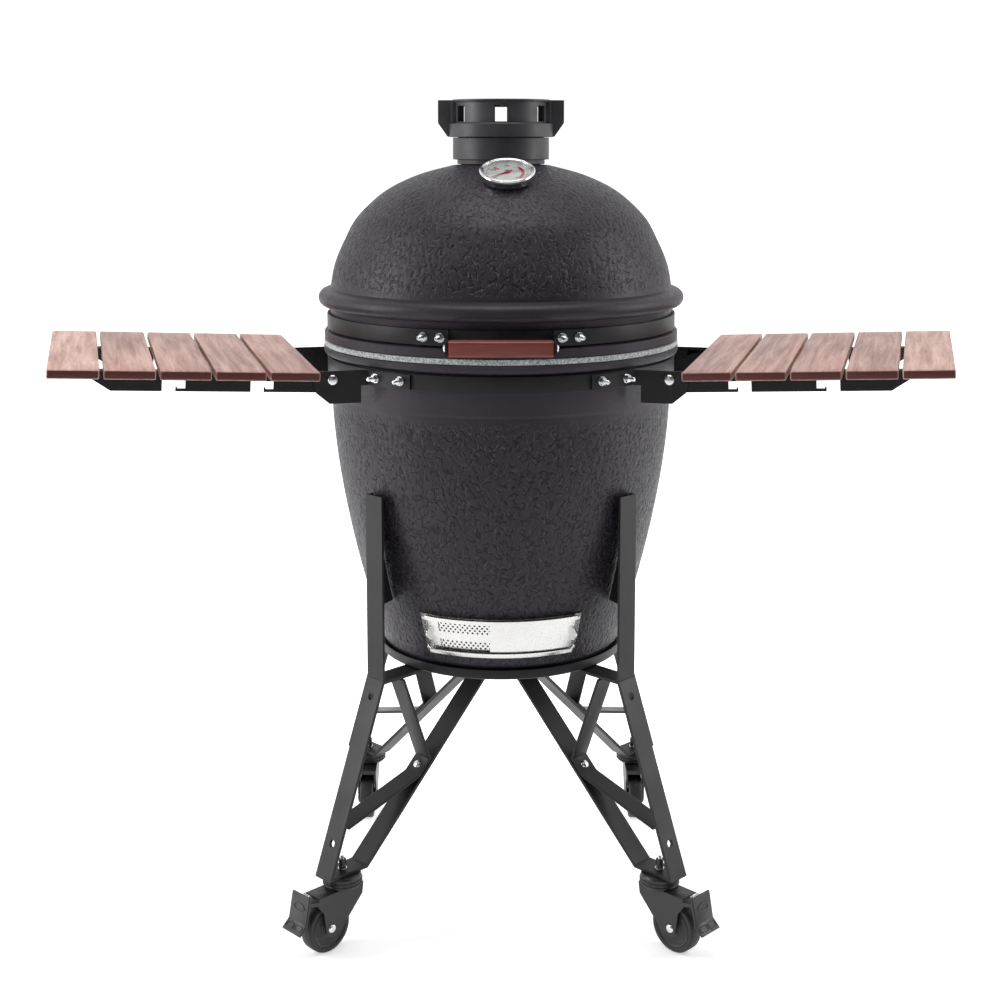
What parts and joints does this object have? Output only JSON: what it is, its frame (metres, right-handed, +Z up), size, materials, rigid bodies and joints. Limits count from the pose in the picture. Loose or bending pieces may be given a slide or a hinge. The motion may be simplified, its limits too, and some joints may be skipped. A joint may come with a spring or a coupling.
{
  "type": "kamado ceramic grill",
  "caption": "Egg-shaped ceramic charcoal grill with a hinged lid, turning top vent, sliding draft door, folding side shelves and a four-legged rolling stand.",
  "frame": {"origin": "on the floor under the middle of the whole grill's bounding box", "axes": "+Z up, +X to the right of a cook standing in front, the front faces -Y; the ceramic's axis is at x 0, y 0.0292"},
  "size_m": [1.413, 0.7123, 1.2275],
  "materials": {
    "glazed_stoneware": "matt charcoal glaze with a dimpled texture",
    "fireclay": "unglazed buff fireclay",
    "black_steel": "satin black powder coat",
    "cast_iron": "charcoal powder coated casting",
    "stainless": "brushed stainless steel",
    "felt": "light grey mottled felt",
    "hardwood": "oiled reddish hardwood",
    "caster_plastic": "black nylon",
    "tyre": "black rubber",
    "needle_red": "red enamel"
  },
  "bodies": {
    "base": {"base_shell": "glazed_stoneware", "rim_gasket": "felt", "fire_box": "fireclay", "charcoal_grate": "cast_iron", "cooking_grid": "stainless", "lower_band": "black_steel", "hinge_base_bracket": "black_steel", "draft_frame": "stainless", "base_ring": "black_steel", "bracket_left_front": "black_steel", "bracket_left_rear": "black_steel", "bracket_right_front": "black_steel", "bracket_right_rear": "black_steel", "post_front_left": "black_steel", "leg_front_left": "black_steel", "brace_front_left": "black_steel", "post_front_right": "black_steel", "leg_front_right": "black_steel", "brace_front_right": "black_steel", "post_rear_left": "black_steel", "leg_rear_left": "black_steel", "brace_rear_left": "black_steel", "post_rear_right": "black_steel", "leg_rear_right": "black_steel", "brace_rear_right": "black_steel"},
    "lid": {"lid_dome": "glazed_stoneware", "upper_band": "black_steel", "handle_frame": "black_steel", "handle_grip": "hardwood", "hinge_lid_strap": "black_steel", "vent_collar": "cast_iron", "thermometer_case": "stainless"},
    "vent_cap_body": {"vent_cap": "cast_iron"},
    "needle_body": {"thermometer_needle": "needle_red"},
    "draft_screen_body": {"draft_screen": "stainless"},
    "draft_door_body": {"draft_door": "stainless"},
    "shelf_left": {"board_left_1": "hardwood", "board_left_2": "hardwood", "board_left_3": "hardwood", "board_left_4": "hardwood", "board_left_5": "hardwood", "arm_left_front": "black_steel", "arm_left_rear": "black_steel"},
    "shelf_right": {"board_right_1": "hardwood", "board_right_2": "hardwood", "board_right_3": "hardwood", "board_right_4": "hardwood", "board_right_5": "hardwood", "arm_right_front": "black_steel", "arm_right_rear": "black_steel"},
    "fork_front_left": {"caster_fork_front_left": "caster_plastic"},
    "wheel_front_left_body": {"wheel_front_left": "tyre"},
    "pedal_front_left": {"brake_pedal_front_left": "caster_plastic"},
    "fork_front_right": {"caster_fork_front_right": "caster_plastic"},
    "wheel_front_right_body": {"wheel_front_right": "tyre"},
    "pedal_front_right": {"brake_pedal_front_right": "caster_plastic"},
    "fork_rear_left": {"caster_fork_rear_left": "caster_plastic"},
    "wheel_rear_left_body": {"wheel_rear_left": "tyre"},
    "fork_rear_right": {"caster_fork_rear_right": "caster_plastic"},
    "wheel_rear_right_body": {"wheel_rear_right": "tyre"}
  },
  "joints": [
    {"name": "lid_hinge", "type": "hinge", "parent": "base", "child": "lid", "pos_m": [0, 0.3442, 0.872], "axis": [-1, 0, 0], "range_deg": [0, 70]},
    {"name": "vent_turn", "type": "hinge", "parent": "lid", "child": "vent_cap_body", "pos_m": [0, 0.0292, 1.171], "axis": [0, 0, 1], "range_deg": [0, 30]},
    {"name": "needle_turn", "type": "hinge", "parent": "lid", "child": "needle_body", "pos_m": [0.009, -0.11377, 1.12043], "axis": [0, 0.4067, -0.9135], "range_deg": [0, 250]},
    {"name": "draft_screen_slide_round", "type": "hinge", "parent": "base", "child": "draft_screen_body", "pos_m": [0, 0.0292, 0.448], "axis": [0, 0, 1], "range_deg": [0, 24]},
    {"name": "draft_door_slide_round", "type": "hinge", "parent": "base", "child": "draft_door_body", "pos_m": [0, 0.0292, 0.448], "axis": [0, 0, 1], "range_deg": [-24, 0]},
    {"name": "shelf_left_fold", "type": "hinge", "parent": "base", "child": "shelf_left", "pos_m": [-0.27382, -0.04386, 0.8277], "axis": [0.2578, -0.9662, 0], "range_deg": [0, 90]},
    {"name": "shelf_right_fold", "type": "hinge", "parent": "base", "child": "shelf_right", "pos_m": [0.27382, -0.04386, 0.8277], "axis": [0.2578, 0.9662, 0], "range_deg": [0, 90]},
    {"name": "swivel_front_left", "type": "hinge", "parent": "base", "child": "fork_front_left", "pos_m": [-0.23122, -0.20202, 0.1], "axis": [0, 0, 1], "continuous": true},
    {"name": "roll_front_left", "type": "hinge", "parent": "fork_front_left", "child": "wheel_front_left_body", "pos_m": [-0.25456, -0.22536, 0.0375], "axis": [0.7071, -0.7071, 0], "continuous": true},
    {"name": "brake_front_left", "type": "hinge", "parent": "fork_front_left", "child": "pedal_front_left", "pos_m": [-0.27365, -0.24445, 0.085], "axis": [0.7071, -0.7071, 0], "range_deg": [0, 15]},
    {"name": "swivel_front_right", "type": "hinge", "parent": "base", "child": "fork_front_right", "pos_m": [0.23122, -0.20202, 0.1], "axis": [0, 0, 1], "continuous": true},
    {"name": "roll_front_right", "type": "hinge", "parent": "fork_front_right", "child": "wheel_front_right_body", "pos_m": [0.25456, -0.22536, 0.0375], "axis": [0.7071, 0.7071, 0], "continuous": true},
    {"name": "brake_front_right", "type": "hinge", "parent": "fork_front_right", "child": "pedal_front_right", "pos_m": [0.27365, -0.24445, 0.085], "axis": [0.7071, 0.7071, 0], "range_deg": [0, 15]},
    {"name": "swivel_rear_left", "type": "hinge", "parent": "base", "child": "fork_rear_left", "pos_m": [-0.23122, 0.26042, 0.1], "axis": [0, 0, 1], "continuous": true},
    {"name": "roll_rear_left", "type": "hinge", "parent": "fork_rear_left", "child": "wheel_rear_left_body", "pos_m": [-0.23122, 0.22742, 0.0375], "axis": [1, 0, 0], "continuous": true},
    {"name": "swivel_rear_right", "type": "hinge", "parent": "base", "child": "fork_rear_right", "pos_m": [0.23122, 0.26042, 0.1], "axis": [0, 0, 1], "continuous": true},
    {"name": "roll_rear_right", "type": "hinge", "parent": "fork_rear_right", "child": "wheel_rear_right_body", "pos_m": [0.23122, 0.22742, 0.0375], "axis": [1, 0, 0], "continuous": true}
  ]
}
